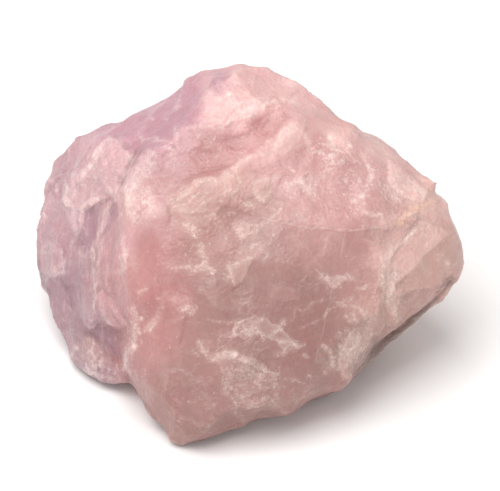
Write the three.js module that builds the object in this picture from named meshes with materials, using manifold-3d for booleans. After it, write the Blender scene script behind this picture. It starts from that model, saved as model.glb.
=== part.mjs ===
// A rough chunk of rose quartz, broken on every side, in millimetres with +Z up.
// It is one natural piece. It lies on a flat break, with its broad face leaning back towards +Y.
// The corners of its break faces are given square-on to the broad face, as [across, up, out],
// and the whole chunk is then leaned back and cut flat where it lies.
import * as THREE from "three";
import { TessellateModifier } from "three/addons/modifiers/TessellateModifier.js";
import { mergeVertices } from "three/addons/utils/BufferGeometryUtils.js";
import Module from "manifold-3d";

// Driving dimensions.
const WIDTH = 100; // of the chunk across its broad face
const LEAN_BACK = THREE.MathUtils.degToRad(40); // of the broad face, from upright
const LIFT = 39.5; // of the corners' own origin above the flat break, once leaned back
const DRAWN_WIDTH = 100; // the width at which the corners below are given
const FACET_EDGE = 3.8; // the longest edge of the finished facets
const TILT_UP = Math.PI / 2 - LEAN_BACK;

// The edge of the chunk as seen square-on to the broad face, clockwise from its left peak.
const OUTLINE = [
  // the top, falling to the right
  [-11.7, 43.7, -20], [-2.3, 43.9, -15], [0.7, 43.2, -14], [3.2, 43.7, -15], [10.8, 40.3, -16],
  [15.6, 36.3, -16], [21.4, 31, -15], [25.3, 28.5, -16], [29.7, 26.7, -19], [34, 23.5, -19],
  [38.4, 19.6, -17], [42.6, 16.3, -15],
  // the nick and the blunt right end
  [42.1, 14, -16], [45.3, 12, -17], [46.9, 7.6, -18], [49.2, 1.2, -19], [49.7, -1.8, -19], [47.6, -6.2, -17],
  // the undercut lower right edge
  [43.7, -10.6, -18.5], [39.5, -15.4, -18], [34.9, -19.1, -17.5], [30.7, -22.9, -16], [23, -28.3, -11],
  // the toe
  [20.2, -30.8, -8], [16.3, -32, -9], [10.4, -36.1, -9], [1.8, -37.7, -10], [-2.3, -39.3, -9],
  [-11, -42.6, -8], [-16.1, -43.5, -8], [-18.6, -42.8, -8], [-20, -39.8, -9], [-22.8, -38, -11],
  [-25.3, -33.4, -12],
  // the notch between the toe and the left lobe, and the lobe
  [-27.8, -29.7, -16], [-32.7, -29.9, -22], [-37.3, -28.5, -25], [-41.9, -24.6, -29], [-42.8, -20.7, -31],
  [-45.8, -15.2, -33], [-46.9, -9.4, -34], [-49, -7.4, -37], [-50.4, -2.1, -38], [-49.7, 6.7, -38],
  [-48.1, 10.4, -37], [-47.6, 16.6, -36], [-46.4, 22.6, -36],
  // the back slope, rising to the peak
  [-40.8, 27.3, -35], [-34.9, 29.9, -33], [-28.8, 31.7, -31], [-23, 35.4, -28], [-18.4, 38, -25],
  [-15.6, 39.6, -23], [-14.7, 41.5, -21],
];

// Corners on the side that the broad face looks out of, by feature.
const FRONT = {
  mainRidge: [
    [-4.1, 41.2, -9.5], [-8, 38.9, -9], [-10.8, 34.5, -6.5], [-11.7, 30.6, -4], [-16, 28.8, -5],
    [-18, 26.7, -4], [-23.5, 25.8, -7.5], [-25.3, 21.4, -4.5], [-29, 15.6, -6], [-28.3, 9.9, -3],
    [-28.3, 3.5, -2], [-28.5, -2.3, -2], [-27.1, -10.4, -1], [-26.5, -16.1, -2], [-26.7, -20.7, -4],
    [-29.2, -25.3, -8],
  ],
  grooveBesideRidge: [
    [-19.6, 29.9, -11.5], [-25.1, 28.6, -14.4], [-26, 25.8, -12.8], [-27, 22.8, -11.4], [-28.9, 19.6, -11.6],
    [-30, 16.4, -12.4], [-31.3, 11.5, -13], [-31.7, 4.6, -12], [-31.7, -1.6, -10],
  ],
  leftSlab: [
    [-34.5, 27.1, -22], [-30, 27, -15], [-30.6, 21.8, -13], [-33.6, 21, -14.4], [-38.6, 17.7, -22],
    [-32.4, 14.8, -13.2], [-38, 11.7, -21],
  ],
  leftHollows: [[-35.7, 6.9, -21], [-39.1, 2.3, -24.5], [-35, 1.2, -17]],
  leftFace: [
    [-43.7, 18.4, -29], [-44.9, 11.5, -31], [-43.7, 3.5, -29], [-47.2, -3.5, -32], [-43.2, -3.9, -27],
    [-39.1, -5.8, -23], [-35.2, -4.6, -15], [-35.2, -11.5, -16], [-42.3, -10.4, -29], [-31.7, -12.7, -10],
    [-38.6, -15, -23],
  ],
  leftLobe: [
    [-33.4, -18.4, -18.4], [-30.4, -17.3, -13], [-30.4, -22.3, -16.5], [-36.8, -18.4, -21],
    [-36.3, -24.2, -21], [-31.7, -26.5, -19], [-40, -17.5, -26],
  ],
  topShelf: [[-8, 29.9, -3.6], [-2.3, 30.6, -4.4], [2.8, 33.2, -6.5], [6.4, 35.4, -8.5], [3, 38.5, -10.5]],
  upperHollow: [
    [-12.7, 26, -4.8], [-15.6, 21.5, -3.2], [-9.4, 20.3, -4.8], [-8, 25, -6], [-2.3, 24.4, -5.4],
    [-1.2, 28, -6.6], [3, 29, -7.2], [7.6, 32.4, -9.4], [12, 35, -13],
  ],
  slantingCrest: [
    [-18.4, 11.5, 1], [-13.8, 16.3, 0.5], [-6.4, 17.5, 0], [-2.6, 20.4, -1], [2.8, 24.2, -2.6],
    [9.4, 29.4, -5.4], [14.3, 32.4, -10],
  ],
  ridgeShoulder: [[-23, 16.1, -1], [-23, 9.2, 1.5]],
  upperFace: [
    [-4.1, 13.4, 1.8], [1.2, 12.7, 1], [9.2, 19.6, -1.8], [16.1, 26.5, -6], [20.7, 20.7, -4],
    [18.4, 13.8, -1], [26.5, 24.2, -9.5], [32.2, 19.1, -9], [27.6, 15, -4], [34.5, 12.7, -7.5],
    [39.1, 13.8, -12],
  ],
  stepAcrossFace: [
    [4.6, 8, 3], [12.7, 6.4, 2.4], [21.9, 5.5, 1], [31, 6.7, -2.4], [35.7, 8.7, -6], [40.9, 10.2, -10],
  ],
  lowerFace: [
    [-11.5, 4.6, 4], [-20.7, 0, 2.6], [-2.3, -2.3, 4.4], [9.2, -2.3, 4.8], [19.6, -3.5, 2.2], [28.8, -1.6, 0],
    [-18.4, -12.7, 3.5], [-6.9, -13.8, 5.6], [4.6, -15, 5], [16.1, -15, 3.4], [25.3, -13.8, 0.6],
  ],
  rightEnd: [
    [37.3, 5.5, -7], [32.2, -1.2, -2.4], [30.6, -9.8, -2], [36, -4.6, -4.4], [41.4, 1.2, -8],
    [46.4, 4.2, -13], [46, -2.3, -13.6], [41.4, -6.9, -9.6], [36.6, -10.6, -6.8],
  ],
  undercutLip: [
    [47, -5.1, -15], [43.2, -8.2, -12.4], [38.6, -12.6, -9.6], [33.8, -16.4, -8], [29.4, -18.8, -6.4],
    [26.8, -21.6, -5.6], [24.4, -25.4, -6],
  ],
  undercutCrease: [[43, -9.6, -17], [38.8, -13.8, -16], [33.6, -17.8, -15], [28.9, -21.6, -14]],
  toe: [
    [-16.1, -25.3, 2.8], [-5.8, -24.2, 5], [4.6, -25.4, 4], [16.1, -23, 2], [21.4, -20.7, 0.4],
    [-21.9, -20.7, 1], [-22.4, -29.9, -2], [-16.6, -37.4, -0.6], [-10.6, -39.6, -0.4], [-4.6, -35.6, 2.2],
    [3.5, -34.4, 1.6], [11.5, -31.8, -0.4], [19.2, -27.2, -2],
  ],
};

// Corners on the far side: the back, and the flat break that the chunk lies on.
const BACK = {
  backRidge: [[-25, 25, -44], [-5, 34, -34], [12, 30, -35], [27, 20, -34], [38, 8, -32], [40, -4, -29]],
  backFace: [[-38, 14, -46], [-40, 0, -47], [-18, 8, -57], [0, 15, -52], [20, 5, -48]],
  flatBreak: [
    [-20, -3, -60], [5, -4, -59.5], [24, -12, -49.5], [28, -20, -40], [18, -31, -27], [2, -37, -19.5],
    [-14, -41.5, -13], [-22.5, -35, -21.5], [-27.5, -28, -30], [-36, -26, -33], [-39, -14, -47],
    [-8, -20, -41],
  ],
};

// Repeatable noise.
function cellValue(x, y, z, salt) {
  const place = Math.imul(x, 374761393) ^ Math.imul(y, 668265263) ^ Math.imul(z, 2147483647);
  let h = place ^ Math.imul(salt, 1274126177);
  h = Math.imul(h ^ (h >>> 13), 1103515245);
  h = Math.imul(h ^ (h >>> 16), 1597334677);
  return ((h ^ (h >>> 15)) >>> 0) / 4294967296;
}

function smoothNoise(point, size, salt) {
  const [x, y, z] = [point.x / size, point.y / size, point.z / size];
  const [i, j, k] = [Math.floor(x), Math.floor(y), Math.floor(z)];
  const ease = (t) => t * t * (3 - 2 * t);
  const [fx, fy, fz] = [ease(x - i), ease(y - j), ease(z - k)];
  const along = (dj, dk) =>
    THREE.MathUtils.lerp(cellValue(i, j + dj, k + dk, salt), cellValue(i + 1, j + dj, k + dk, salt), fx);
  const low = THREE.MathUtils.lerp(along(0, 0), along(1, 0), fy);
  const high = THREE.MathUtils.lerp(along(0, 1), along(1, 1), fy);
  return THREE.MathUtils.lerp(low, high, fz) * 2 - 1;
}

// Shallow bowls that meet in sharp rims, as small conchoidal breaks do: 0 at a rim, -1 in a deep bowl.
function bowls(point, size, salt) {
  const [i, j, k] = [point.x, point.y, point.z].map((c) => Math.floor(c / size));
  let nearest = Infinity;
  for (let di = -1; di <= 1; di++)
    for (let dj = -1; dj <= 1; dj++)
      for (let dk = -1; dk <= 1; dk++) {
        const cell = [i + di, j + dj, k + dk];
        const seed = new THREE.Vector3(...cell.map((c, n) => (c + cellValue(...cell, salt + n)) * size));
        nearest = Math.min(nearest, seed.distanceToSquared(point) / (size * size));
      }
  return Math.min(nearest, 1) - 1;
}

// Joins the outline and the corners inside it into triangles, and turns each edge that has a
// better one across it, so that the break faces are well shaped.
function faceSheet(outline, inner) {
  const corners = [...outline, ...inner].map((c) => new THREE.Vector3(...c));
  const flat = corners.map((c) => new THREE.Vector3(c.x, c.y, 0));
  const faces = THREE.ShapeUtils.triangulateShape(flat.slice(0, outline.length), []);
  faces.forEach((face) => leftTurn(flat, face) < 0 && face.reverse());
  for (let n = outline.length; n < corners.length; n++) {
    const holder = faces.findIndex(([a, b, c]) =>
      [[a, b, n], [b, c, n], [c, a, n]].every((side) => leftTurn(flat, side) >= 0),
    );
    const [a, b, c] = faces[holder];
    faces.splice(holder, 1, [a, b, n], [b, c, n], [c, a, n]);
    while (turnEdges(flat, flat, faces));
  }
  while (turnEdges(corners, flat, faces));
  return { corners, faces };
}

function leftTurn(flat, [a, b, c]) {
  return flat[b].clone().sub(flat[a]).cross(flat[c].clone().sub(flat[a])).z;
}

// Turns the edges whose opposite angles, as measured between the given places, are too wide.
function turnEdges(places, flat, faces) {
  const holders = new Map();
  const turned = new Set();
  faces.forEach((face, n) => face.forEach((a, k) => holders.set(a + ":" + face[(k + 1) % 3], n)));
  for (const [edge, n] of holders) {
    const [a, b] = edge.split(":").map(Number);
    const m = holders.get(b + ":" + a);
    if (m === undefined || a > b || turned.has(n) || turned.has(m)) continue;
    const [c, d] = [n, m].map((held) => faces[held].find((v) => v !== a && v !== b));
    const [wide, narrow] = [c, d].map((v) =>
      places[a].clone().sub(places[v]).angleTo(places[b].clone().sub(places[v])),
    );
    const fits = leftTurn(flat, [a, d, c]) > 1e-6 && leftTurn(flat, [d, b, c]) > 1e-6;
    if (wide + narrow < Math.PI + 1e-6 || !fits) continue;
    faces[n] = [a, d, c];
    faces[m] = [d, b, c];
    turned.add(n).add(m);
  }
  return turned.size > 0;
}

// The chunk's large break faces, closed round the outline.
function breakFaces() {
  const front = faceSheet(OUTLINE, Object.values(FRONT).flat());
  const back = faceSheet(OUTLINE, Object.values(BACK).flat());
  const places = [
    ...front.faces.flatMap((f) => f.map((v) => front.corners[v])),
    ...back.faces.flatMap((f) => [...f].reverse().map((v) => back.corners[v])),
  ];
  return new THREE.BufferGeometry().setFromPoints(places);
}

// Breaks the large faces up with bowls and uneven ground.
function roughen(geometry) {
  const fine = new TessellateModifier(FACET_EDGE, 20).modify(geometry);
  fine.deleteAttribute("normal");
  const shape = mergeVertices(fine, 1e-3);
  shape.computeVertexNormals();
  const place = shape.getAttribute("position");
  const normal = shape.getAttribute("normal");
  for (let n = 0; n < place.count; n++) {
    const point = new THREE.Vector3().fromBufferAttribute(place, n);
    const out = new THREE.Vector3().fromBufferAttribute(normal, n);
    const uneven = 0.5 * smoothNoise(point, 9, 11) + 0.3 * smoothNoise(point, 4, 12);
    point.addScaledVector(out, 0.9 + 1.5 * bowls(point, 15, 3) + uneven);
    place.setXYZ(n, point.x, point.y, point.z);
  }
  shape.deleteAttribute("normal");
  return shape;
}

const wasm = await Module();
wasm.setup();

function solidOf(geometry) {
  const bare = geometry.clone();
  ["normal", "uv"].forEach((name) => bare.deleteAttribute(name));
  const merged = mergeVertices(bare, 1e-4);
  return new wasm.Manifold(
    new wasm.Mesh({
      numProp: 3,
      vertProperties: new Float32Array(merged.getAttribute("position").array),
      triVerts: new Uint32Array(merged.index.array),
    }),
  );
}

function geometryOf(solid) {
  const mesh = solid.getMesh();
  return new THREE.BufferGeometry()
    .setAttribute("position", new THREE.BufferAttribute(new Float32Array(mesh.vertProperties), 3))
    .setIndex(new THREE.BufferAttribute(new Uint32Array(mesh.triVerts), 1));
}

// Leans the chunk back and cuts it flat where it lies, with the origin under its middle.
function layDown(geometry) {
  const scale = WIDTH / DRAWN_WIDTH;
  geometry.rotateX(TILT_UP).translate(0, 0, LIFT).scale(scale, scale, scale);
  const below = new THREE.BoxGeometry(4 * WIDTH, 4 * WIDTH, WIDTH).translate(0, 0, -WIDTH / 2);
  const cut = geometryOf(solidOf(geometry).subtract(solidOf(below)));
  cut.computeBoundingBox();
  const middle = cut.boundingBox.getCenter(new THREE.Vector3());
  return cut.translate(-middle.x, -middle.y, 0);
}

const chunk = new THREE.Mesh(
  layDown(roughen(breakFaces())),
  new THREE.MeshStandardMaterial({ color: 0xdca9a6, roughness: 0.5, metalness: 0, flatShading: true }),
);
chunk.name = "rose_quartz_chunk";

const part = new THREE.Group();
part.add(chunk);

export default part;
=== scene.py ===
import itertools
import math
from collections import namedtuple

import bpy
import numpy as np
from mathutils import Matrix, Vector


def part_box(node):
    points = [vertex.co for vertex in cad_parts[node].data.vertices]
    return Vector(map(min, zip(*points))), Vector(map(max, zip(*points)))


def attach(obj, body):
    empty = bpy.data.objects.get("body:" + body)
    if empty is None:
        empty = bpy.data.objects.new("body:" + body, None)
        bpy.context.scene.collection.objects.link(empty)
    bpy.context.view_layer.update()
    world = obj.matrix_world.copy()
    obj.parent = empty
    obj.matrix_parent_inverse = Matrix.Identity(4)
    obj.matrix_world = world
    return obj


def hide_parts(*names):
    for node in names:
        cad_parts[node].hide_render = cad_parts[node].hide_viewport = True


MM = 0.001
NODE = "rose_quartz_chunk"

# The broad face's own frame: it leans back 40 degrees, and its origin is at this place in the row frame,
# in mm.
LEAN_BACK = math.radians(40)
FACE_ORIGIN = np.array([0.19, -12.69, 39.5])
ACROSS = np.array([1.0, 0.0, 0.0])
UP = np.array([0.0, math.sin(LEAN_BACK), math.cos(LEAN_BACK)])
OUT = np.array([0.0, -math.cos(LEAN_BACK), math.sin(LEAN_BACK)])

# Fine fibres in the stone run up to the right across the face.
CLIMB = math.radians(25)
FIBRES = ACROSS * math.cos(CLIMB) + UP * math.sin(CLIMB)
ACROSS_FIBRES = UP * math.cos(CLIMB) - ACROSS * math.sin(CLIMB)

VOXEL = 0.53  # mm, the spacing of the finished mesh
SWELL = 0.4  # mm outwards, which the evening out of the mesh takes away
PLATE_RISE = 0.15  # mm, of the thin plates over the face
FAR = 3.0  # mm, the gap kept where a line or patch of the face doesn't reach
UNSEEN_BROKEN = 0.95  # how broken up the back and the sides are, where 1 is most
FRAME_WIDTH = 115.0  # mm that the picture spans at the face's origin
PICTURE_MIDDLE = 2.2  # mm up the face from its origin to the middle of the picture
CAMERA_DISTANCE = 3000.0  # mm
SENSOR = 36.0  # mm

# Tints of the stone, as sRGB. "glint" is a painted highlight, and "shade" and "umber" are painted shade.
TINTS = {
    "lilac": (182, 136, 148),
    "pale lilac": (180, 144, 151),
    "grey lilac": (158, 126, 134),
    "dusk": (150, 114, 126),
    "pink": (196, 156, 160),
    "warm pink": (186, 138, 142),
    "blush": (190, 146, 145),
    "top blush": (215, 171, 170),
    "bright blush": (222, 182, 177),
    "rose": (192, 148, 146),
    "red rose": (183, 130, 129),
    "salmon": (175, 125, 123),
    "red salmon": (165, 111, 110),
    "mauve": (172, 131, 127),
    "clay": (162, 118, 112),
    "dull mauve": (149, 110, 105),
    "oat": (192, 152, 144),
    "warm grey": (182, 148, 144),
    "peach": (214, 176, 169),
    "beige": (190, 152, 144),
    "dull beige": (184, 146, 137),
    "brown": (156, 112, 104),
    "milk": (125, 117, 110),
    "glint": (246, 222, 214),
    "shade": (104, 74, 72),
    "ochre": (232, 192, 170),
    "umber": (116, 94, 84),
    "deep rose": (160, 104, 104),
}

# Where each tint lies, as (tint, (across, up), reach in mm). The chunk blends from one to the next.
# The broad face is paler at the top and darker and duller towards its bottom.
TINT_PLACES = [
    ("lilac", (-17, 34), 9),
    ("lilac", (-6, 41), 3),
    ("lilac", (-31, 29), 8),
    ("pale lilac", (-43, 12), 10),
    ("grey lilac", (-45, -6), 9),
    ("grey lilac", (-40, -20), 9),
    ("grey lilac", (-33, -26), 4),
    ("pink", (-33, 22), 6),
    ("warm pink", (-30, 2), 5),
    ("blush", (-25, 14), 7),
    ("top blush", (2, 36), 12),
    ("salmon", (-8, 22), 5),
    ("red rose", (4, 30), 4),
    ("rose", (12, 22), 8),
    ("rose", (24, 17), 10),
    ("bright blush", (30, 25), 4),
    ("bright blush", (20, 26), 4),
    ("rose", (20, 8), 8),
    ("mauve", (22, 0), 8),
    ("salmon", (-24, -3), 8),
    ("red salmon", (-20, -10), 7),
    ("salmon", (-22, -18), 9),
    ("clay", (-6, 6), 9),
    ("clay", (3, 12), 4),
    ("dull mauve", (3, 3), 5),
    ("clay", (-15, 11), 3),
    ("oat", (-4, 16), 3),
    ("dull mauve", (-4, -10), 12),
    ("dull mauve", (10, -14), 12),
    ("dull mauve", (-12, -32), 10),
    ("peach", (34, 2), 6),
    ("beige", (42, -2), 8),
    ("peach", (40, 12), 6),
    ("beige", (37, 10.5), 2.5),
    ("dull beige", (33, -12), 7),
]

# A break or flake of the face with a clear edge: its tint and how strong it is, how soft its edge is in mm,
# its rise in mm, how white its rim is, and its corners.
Patch = namedtuple("Patch", "tint strength soft rise whiteness corners")

# A thin pale plate, or a cloud in the stone: how milky it is, and its corners.
Plate = namedtuple("Plate", "milky corners")


def shaded_break(rise, whiteness, corners):
    """A break that faces away from the light, which the material darkens as painted shade, with an edge
    finer than the mesh, and so has no tint here.
    """
    return Patch(None, 0, 0, rise, whiteness, corners)


PATCHES = [
    # the raised slab, the breaks under it and under the bulge at the far left, darkened as painted shade,
    # and the bulge
    Patch("pink", 0.75, 0.4, 0.5, 0.5, [
        (-33.2, 27.3), (-31.1, 26.8), (-29.2, 25), (-27.9, 23.5), (-27.6, 21.2), (-28.8, 19.3), (-29.7, 17),
        (-31.1, 14.1), (-33, 12.7), (-35.8, 11.8), (-37.7, 10.4), (-41.9, 10.9), (-43.1, 12.7),
        (-42.4, 15.6), (-40.5, 18.4), (-37.7, 20.2), (-36.3, 23.1), (-35.3, 25.4),
    ]),
    shaded_break(-0.15, 0.25, [
        (-34.2, 13), (-38, 10.4), (-39, 6.4), (-41, 1.6), (-38.2, 2), (-37.4, 0.6), (-35.6, 4.4),
        (-34.8, 9.6),
    ]),
    shaded_break(-0.15, 0.2, [
        (-30.8, 12.8), (-32.8, 10), (-33.2, 7.6), (-34.8, 3.4), (-32.4, 6), (-31.6, 8), (-30.2, 9),
    ]),
    Patch("pale lilac", 0.6, 0.4, 0.3, 0.3, [
        (-48.2, 2.9), (-45.7, 3.8), (-43.3, 1), (-42.8, -2.8), (-44.2, -4.8), (-46.6, -5.6), (-48.2, -3.7),
        (-48.7, 0.1),
    ]),
    shaded_break(-0.3, 0.2, [(-43.5, -7.5), (-41.4, -7), (-39.6, -10.6), (-41, -13), (-43, -11)]),
    # the left lobe: a pink break, a hollow darkened as painted shade and a warm break
    Patch("warm pink", 0.7, 0.3, 0.3, 0.5, [
        (-35.7, -9.6), (-34.2, -8.2), (-32.8, -9.6), (-30, -12.9), (-28.1, -15.7), (-30.5, -17.1),
        (-32.8, -16.2), (-35.2, -12.4),
    ]),
    shaded_break(-0.3, 0.2, [
        (-35.7, -16.2), (-32.8, -16.6), (-30.5, -18.5), (-30, -21.3), (-29.5, -24.2), (-31.9, -23.2),
        (-34.2, -19.9), (-36.6, -18.5),
    ]),
    Patch("warm grey", 0.5, 0.9, 0.1, 0.1, [
        (-38.9, -19.9), (-37, -18.5), (-34.2, -21.3), (-31.9, -24.2), (-32.8, -26), (-36.6, -25.5),
        (-39.4, -23.7), (-40.1, -21.3),
    ]),
    Patch("deep rose", 0.5, 0.5, 0, 0, [
        (-29.6, -27.6), (-27.4, -28.6), (-24.2, -34.6), (-22.6, -38), (-24.6, -37), (-27.6, -32),
    ]),
    # the top shelf, the bump and the hollow under it, and the slanting crest
    # the top shelf is painted paler than the face below it
    Patch("bright blush", 0.35, 1.4, 0, 0, [
        (-11.5, 31.5), (-10.4, 35.6), (-4.6, 37.5), (2.8, 40.7), (9.2, 40.7), (11.5, 37.5), (8, 34.5),
        (2.8, 32.9), (-2.3, 30.6), (-8, 29.9),
    ]),
    Patch("blush", 0.5, 0.8, 0.3, 0, [
        (-17.5, 27.5), (-15.1, 29.8), (-12.3, 29.8), (-10.9, 28), (-11.4, 25.1), (-14.2, 23.3), (-17, 23.3),
    ]),
    Patch("red rose", 0.7, 0.8, 0, 0, [
        (-8, 26.4), (-2.3, 28.7), (2.8, 30.6), (8, 32.9), (9.7, 31.5), (5.8, 27.6), (2.8, 24.6),
        (-2.3, 22.3), (-6.4, 24.2),
    ]),
    Patch("salmon", 0.6, 0.8, 0, 0, [
        (-12.6, 21.8), (-10.4, 24.2), (-5.8, 23.7), (-5, 20.7), (-8, 17.7), (-11.5, 17.7),
    ]),
    Patch("bright blush", 0.35, 1.2, 0, 0, [
        (3.4, 21.8), (4.6, 25.3), (9.2, 29.2), (15.6, 31.5), (17.2, 29.9), (12.6, 26), (8, 22.3), (5, 20.5),
    ]),
    # the fibrous patch and the brown spot under it
    Patch("oat", 0.25, 0.7, 0.1, 0.15, [
        (-19.1, 12.9), (-17.9, 14.3), (-14.7, 16.2), (-10.4, 17.2), (-6.7, 17.2), (-3.8, 16.7),
        (-3.9, 13.9), (-7.6, 12.5), (-8.5, 10.1), (-12.3, 9.2), (-16.1, 8.7), (-18.4, 9.7),
    ]),
    Patch("brown", 0.5, 0.3, 0, 0.2, [
        (-13.7, 8.3), (-11.3, 9), (-9, 8.3), (-8.5, 6.4), (-10.8, 5.4), (-12.7, 6.4),
    ]),
    # flakes on the middle of the face
    Patch("oat", 0.3, 0.3, 0.1, 0.5, [
        (0.7, 16.2), (2.8, 17.6), (5.1, 17.2), (4.6, 14.3), (3.2, 11.8), (1.8, 12.9),
    ]),
    Patch("oat", 0.3, 0.3, 0.1, 0.4, [
        (-3.1, 6.4), (-1.9, 7.8), (0, 7.4), (1.8, 6.4), (1.4, 4.5), (-1, 3.5), (-2.6, 4),
    ]),
    Patch("oat", 0.25, 0.6, 0.1, 0.2, [
        (-4.7, -2.5), (-1.9, 1.2), (0.9, 2.6), (3.7, 2.1), (2.8, -0.2), (0, -1.6), (-1, -5.8), (-3.3, -6.3),
        (-4.7, -4.4),
    ]),
    Patch("mauve", 0.35, 0.4, 0.1, 0.25, [
        (4.1, -7.6), (7, -7.2), (11.2, -8), (11.2, -9.6), (7.6, -10.4), (4.6, -9.8),
    ]),
    # the right end, and the grey break along the upper edge
    Patch("peach", 0.45, 0.7, 0, 0.3, [
        (39.3, 7.8), (43.7, 6.2), (46.7, 5.5), (43.5, 3.2), (40.3, 0), (35.7, -4.6), (32.4, -8.5),
        (31.5, -5.8), (32.7, -1.6), (35, 2.3),
    ]),
    Patch("beige", 0.75, 0.3, 0, 0.3, [
        (47.2, 4.4), (48.8, 1.2), (48.3, -1.6), (43.7, -5.3), (40.2, -8.5), (36.3, -11.5), (33.6, -13.8),
        (32.7, -11.5), (33.4, -8.9), (36.4, -4.9), (41, -0.3), (44, 2.6),
    ]),
    Patch("bright blush", 0.6, 0.5, 0.2, 0.4, [
        (32, 21.6), (36, 18.8), (41.4, 14), (39.6, 12.4), (35, 13.6), (31.6, 17),
    ]),
    Patch("grey lilac", 0.2, 0.4, 0, 0.4, [
        (23, 29.2), (25.8, 28.5), (29.9, 26.7), (34, 23.7), (34, 22.3), (31.1, 24.2), (27.1, 26.5),
        (24.2, 27.6),
    ]),
    # painted shade: a dark umber band in the recess under the lip, between the crevice and the edge
    Patch("umber", 0.9, 0.4, 0, 0, [
        (41.6, -11.4), (37, -14.8), (33.3, -17.8), (28.5, -20.8), (24, -26.4), (23.4, -28.6), (28, -24.4),
        (32.4, -20.6), (37.4, -16.4), (41, -13.2),
    ]),
    Patch("oat", 0.5, 0.6, 0.2, 0.3, [
        (22.6, -18.4), (27, -17.6), (28.4, -21), (25.6, -27), (22, -28.6), (20.4, -24),
    ]),
]

PLATES = [
    # the raised slab of the left face, and the blade and the bulge under it
    Plate(0.3, [
        (-33.4, 27.5), (-31.2, 27.1), (-29.5, 26), (-29, 24.4), (-27.3, 23.3), (-27, 21.3), (-28.4, 18.6),
        (-30.6, 15), (-34.2, 12.5), (-37.8, 10.6), (-38.2, 9), (-39.4, 5.9), (-40.5, 4), (-41.1, 6.8),
        (-41.9, 10.9), (-43.3, 13.4), (-44.3, 18.3), (-42.4, 19.7), (-39.4, 18.9), (-36.4, 21),
        (-35.6, 23.3), (-34.5, 25.7),
    ]),
    Plate(0.35, [(-31.2, 12.6), (-33, 10.8), (-34.2, 7.2), (-35, 3.6), (-33, 7), (-31.6, 10.4)]),
    Plate(0.25, [(-48, 2.4), (-46, 3.2), (-43.6, 0.6), (-43, -2.6), (-44.4, -4.6), (-47, -5.2)]),
    Plate(0.2, [(-35.4, -10), (-34, -8.6), (-30, -13.2), (-28.2, -15.8), (-30.6, -16.8), (-33, -15.8)]),
    # flakes of the top shelf and the slanting crest
    Plate(0.2, [
        (-9.2, 31.8), (-7.8, 33.9), (-5, 35.5), (-2.2, 35.4), (2, 36.2), (5.9, 37.3), (3.1, 34.3),
        (-0.4, 32.9), (-3.6, 31.5), (-5.3, 29.7), (-8.5, 30.8),
    ]),
    Plate(0.25, [
        (-4.3, 41), (-3.2, 42.7), (-0.4, 43.4), (1.7, 42.4), (1, 39.9), (-1.8, 39.2), (-3.9, 39.6),
    ]),
    Plate(0.2, [(-9.9, 37.4), (-7.1, 39.9), (-5.3, 39.2), (-4.6, 37.1), (-7.8, 34.3), (-10.6, 32.5)]),
    Plate(0.3, [(7.3, 29.3), (10.9, 31.1), (13, 30.8), (11.6, 26.5), (8, 23), (5.2, 23.7)]),
    # the fibrous patch
    Plate(0.18, [
        (-18.4, 11.4), (-16.7, 13.1), (-13.9, 14.8), (-13, 16.7), (-10, 16.9), (-7.1, 17), (-6.9, 18.4),
        (-5.2, 19.6), (-1.5, 17), (-3.8, 14.2), (-5.2, 11.7), (-8, 9.7), (-13, 9.4), (-15.6, 9.7),
    ]),
    # the fan under the crest and the flakes in the middle
    Plate(0.3, [(0.2, 17.4), (2, 12.4), (3.8, 11.7), (5.9, 14.9), (7.3, 18.1)]),
    Plate(0.35, [(-3.1, 5.5), (-2.6, 7.5), (-1.5, 7.9), (0.2, 6.9), (-0.1, 4.9), (-2.1, 2.9)]),
    Plate(0.3, [
        (-4.6, -3), (-2.6, -1.3), (-0.4, -0.2), (0.2, -1.8), (-1.2, -4.7), (-3.2, -7.5), (-4.3, -5.8),
    ]),
    # pale patches low on the face
    Plate(0.25, [
        (-8, -22.3), (-4.1, -21.9), (0, -23.5), (2.8, -24.6), (5.1, -26.9), (6.9, -29.9), (2.8, -31.5),
        (-2.3, -32.9), (-5.1, -29.9), (-6.9, -26.5),
    ]),
    Plate(0.35, [
        (17, -5.5), (18.9, -4.6), (21.9, -4.8), (22.8, -5.8), (20.7, -6.7), (19.1, -7.6), (17.9, -6.7),
    ]),
    # the lower right and the right end
    Plate(0.35, [
        (21, -20), (24.6, -16.6), (28.4, -16.8), (28, -21), (24.6, -27), (21.4, -29), (20.4, -25),
    ]),
    Plate(0.25, [(31.6, -5), (33.4, -3.4), (33.2, -7.6), (31.4, -11), (30.6, -8)]),
    Plate(0.25, [(32, 21.6), (36, 18.8), (41, 14.4), (39.6, 12.4), (35, 13.6), (31.6, 17)]),
    Plate(0.2, [
        (39.3, 7.8), (43.7, 6.2), (46, 5), (40.3, 0), (35.7, -4.6), (33.2, -6.5), (32.9, -1.6), (35, 2.3),
    ]),
]

# The cloud low on the face lies within the stone, so nothing rises there.
CLOUDS = [
    Plate(0.38, [
        (-3.6, -18.3), (-1.9, -17.1), (-1.7, -15.7), (-0.5, -14.8), (1.4, -15.2), (3.2, -14.1), (4.4, -15),
        (4.9, -16.2), (7, -15.7), (7.9, -17.3), (9.3, -19), (11.7, -20.2), (9.3, -21.1), (7.5, -22),
        (6, -19.9), (3.7, -19), (1.4, -18.1), (-1, -19.5),
    ]),
]


def smoothstep(low, high, x):
    t = np.clip((x - low) / (high - low), 0, 1)
    return t * t * (3 - 2 * t)


# Repeatable noise, for arrays of places in mm.


def random_of(cells, salt):
    """A repeatable number from 0 to 1 for each whole-number cell."""
    x, y, z = (cells[:, k].astype(np.int64).astype(np.uint32) for k in range(3))
    h = x * np.uint32(374761393) ^ y * np.uint32(668265263) ^ z * np.uint32(2246822519)
    h = (h ^ np.uint32(salt * 7919 + 13)) * np.uint32(1274126177)
    h = (h ^ (h >> np.uint32(13))) * np.uint32(2654435761)
    h = (h ^ (h >> np.uint32(16))) * np.uint32(2246822519)
    return (h ^ (h >> np.uint32(15))).astype(float) / 4294967295.0


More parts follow.
